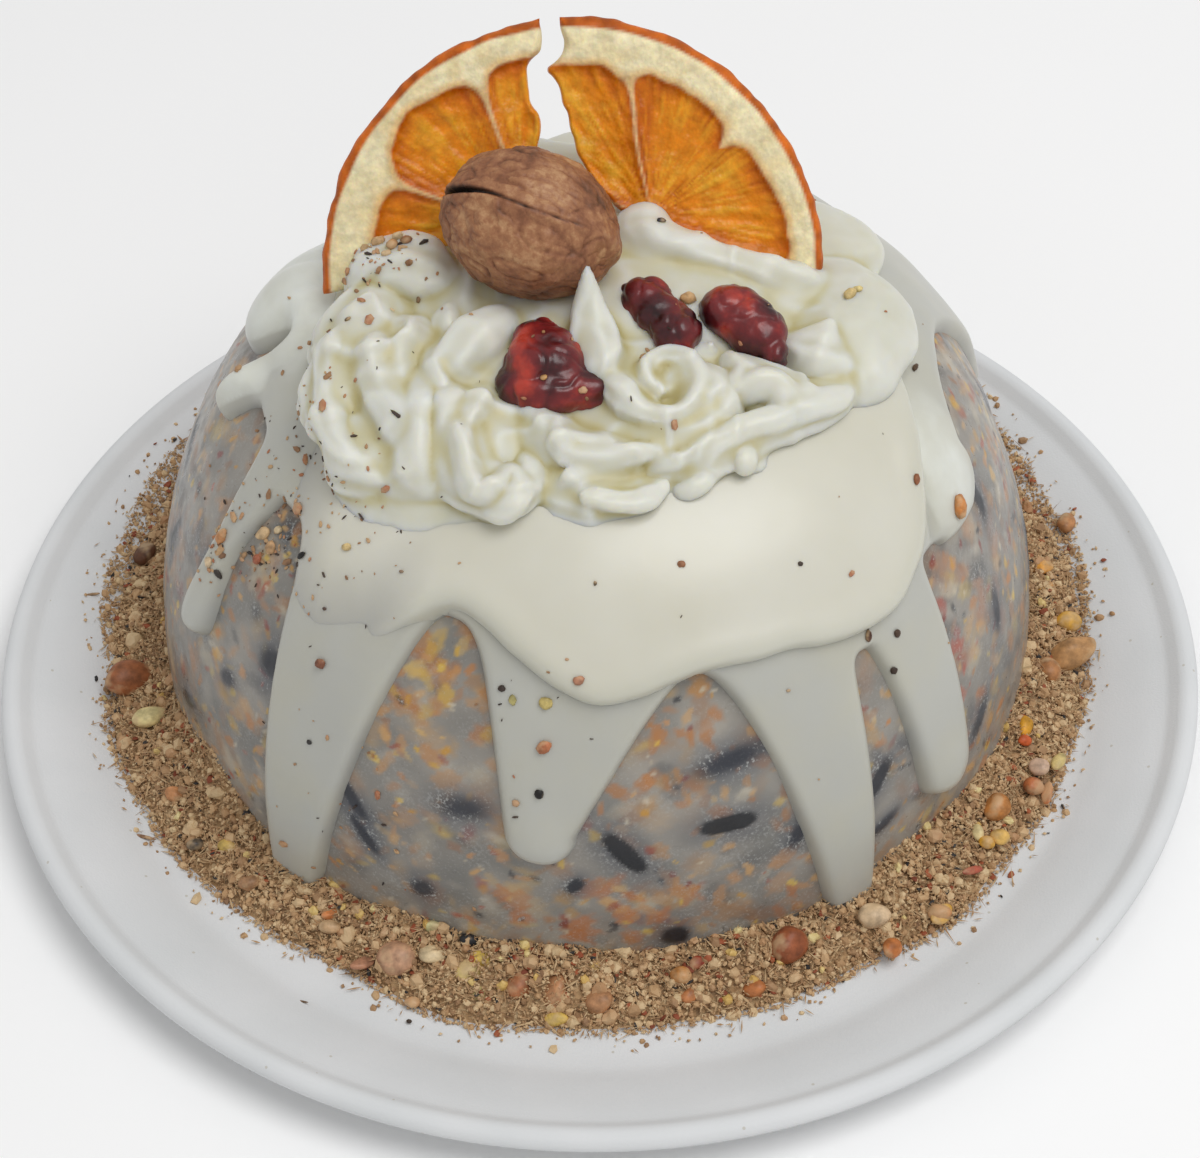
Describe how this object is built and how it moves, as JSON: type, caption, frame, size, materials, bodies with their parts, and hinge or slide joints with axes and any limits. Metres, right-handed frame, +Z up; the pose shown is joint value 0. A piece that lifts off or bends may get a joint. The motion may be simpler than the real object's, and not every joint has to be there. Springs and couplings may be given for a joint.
{
  "type": "drip cake on plate",
  "caption": "Domed seed-and-fat drip cake on a round moulded plate, with piped cream, dried orange, walnut and dried berries on top and crumbs round its foot.",
  "frame": {"origin": "middle of the underside of the plate", "axes": "+Z up through the top of the cake, -Y toward the front of the cake, where the pour of thick icing hangs lowest, +X to its right"},
  "size_m": [0.23, 0.23, 0.1291],
  "materials": {
    "moulded_pulp": "matt moulded plant fibre",
    "seed_fat": "translucent grey fat full of seeds",
    "thin_icing": "smooth waxy white fat",
    "pour_icing": "smooth waxy ivory fat",
    "cream": "whipped ivory fat, soft sheen",
    "crumbs": "dry ground nuts and husks",
    "dried_orange": "dried pulp, glossy, in a dry peel",
    "nut_shell": "dull wrinkled shell",
    "dried_berry": "dark red, wrinkled, sticky gloss"
  },
  "bodies": {
    "root": {"plate": "moulded_pulp", "cake": "seed_fat", "icing_drips": "thin_icing", "icing_pour": "pour_icing", "crumb_ring": "crumbs", "orange_slice_left": "dried_orange", "orange_slice_right": "dried_orange", "walnut": "nut_shell", "cranberry_left": "dried_berry", "cranberry_middle": "dried_berry", "cranberry_right": "dried_berry", "piped_cream": "cream"}
  },
  "joints": []
}
